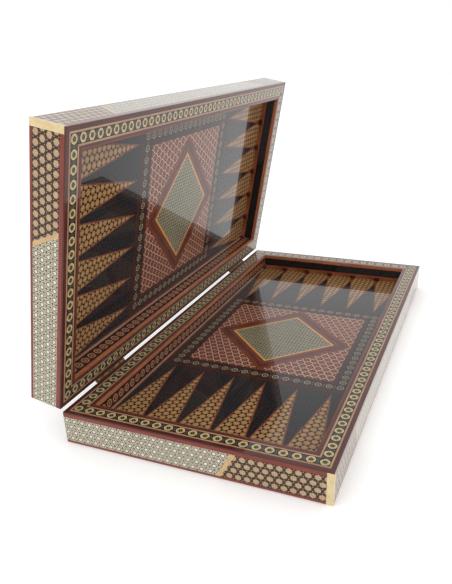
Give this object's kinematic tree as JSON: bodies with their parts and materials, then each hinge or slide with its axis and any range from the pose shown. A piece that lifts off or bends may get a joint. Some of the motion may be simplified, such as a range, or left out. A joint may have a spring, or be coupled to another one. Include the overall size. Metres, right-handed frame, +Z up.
{
  "type": "backgammon set",
  "caption": "Folding marquetry backgammon set: two shallow trays with inlaid fields on two butt hinges, standing open.",
  "frame": {"origin": "centre of the base tray's underside, on the surface the set stands on", "axes": "+X along the hinge edge, +Y from the opening edge to the hinge edge, +Z up"},
  "size_m": [0.5, 0.2844, 0.2871],
  "materials": {
    "core_wood": "satin",
    "dark_mahogany": "gloss",
    "red_mahogany": "gloss",
    "orange_wood": "gloss",
    "cream_line": "gloss",
    "bone": "gloss",
    "rosette_khatam": "gloss",
    "star_khatam": "gloss",
    "pale_khatam": "gloss",
    "black_khatam": "gloss",
    "gold_khatam": "gloss",
    "red_khatam": "gloss",
    "fine_khatam": "gloss",
    "brass": "satin",
    "steel": "satin"
  },
  "bodies": {
    "base": {"base_core_board": "core_wood", "base_rails": "core_wood", "base_rim_edging": "dark_mahogany", "base_rim_lines": "cream_line", "base_rim_chain": "rosette_khatam", "base_rim_inner_edging": "dark_mahogany", "base_side_top_line": "red_mahogany", "base_side_bottom_line": "red_mahogany", "base_side_star_khatam": "star_khatam", "base_side_pale_khatam": "pale_khatam", "base_side_spacers": "cream_line", "base_corner_strips": "bone", "base_wall_bead": "orange_wood", "base_wall_khatam": "black_khatam", "base_wall_foot": "orange_wood", "base_scalloped_rests": "orange_wood", "base_field_ground": "black_khatam", "base_points": "gold_khatam", "base_point_strings": "orange_wood", "base_panel_edging": "dark_mahogany", "base_panel_chain": "rosette_khatam", "base_panel_ground": "red_khatam", "base_lozenge_band": "red_mahogany", "base_lozenge_line": "bone", "base_lozenge_heart": "fine_khatam", "base_outer_border": "dark_mahogany", "base_outer_panel": "star_khatam", "hinge_leaves_base": "brass", "hinge_pins": "steel", "hinge_screws_base": "steel"},
    "lid": {"lid_core_board": "core_wood", "lid_rails": "core_wood", "lid_rim_edging": "dark_mahogany", "lid_rim_lines": "cream_line", "lid_rim_chain": "rosette_khatam", "lid_rim_inner_edging": "dark_mahogany", "lid_side_top_line": "red_mahogany", "lid_side_bottom_line": "red_mahogany", "lid_side_star_khatam": "star_khatam", "lid_side_pale_khatam": "pale_khatam", "lid_side_spacers": "cream_line", "lid_corner_strips": "bone", "lid_wall_bead": "orange_wood", "lid_wall_khatam": "black_khatam", "lid_wall_foot": "orange_wood", "lid_scalloped_rests": "orange_wood", "lid_field_ground": "black_khatam", "lid_points": "gold_khatam", "lid_point_strings": "orange_wood", "lid_panel_edging": "dark_mahogany", "lid_panel_chain": "rosette_khatam", "lid_panel_ground": "red_khatam", "lid_lozenge_band": "red_mahogany", "lid_lozenge_line": "bone", "lid_lozenge_heart": "fine_khatam", "lid_outer_border": "dark_mahogany", "lid_outer_panel": "star_khatam", "hinge_leaves_lid": "brass", "hinge_screws_lid": "steel"}
  },
  "joints": [
    {"name": "lid_hinge", "type": "hinge", "parent": "base", "child": "lid", "pos_m": [0, 0.1273, 0.0331], "axis": [-1, 0, 0], "range_deg": [-79, 101]}
  ]
}
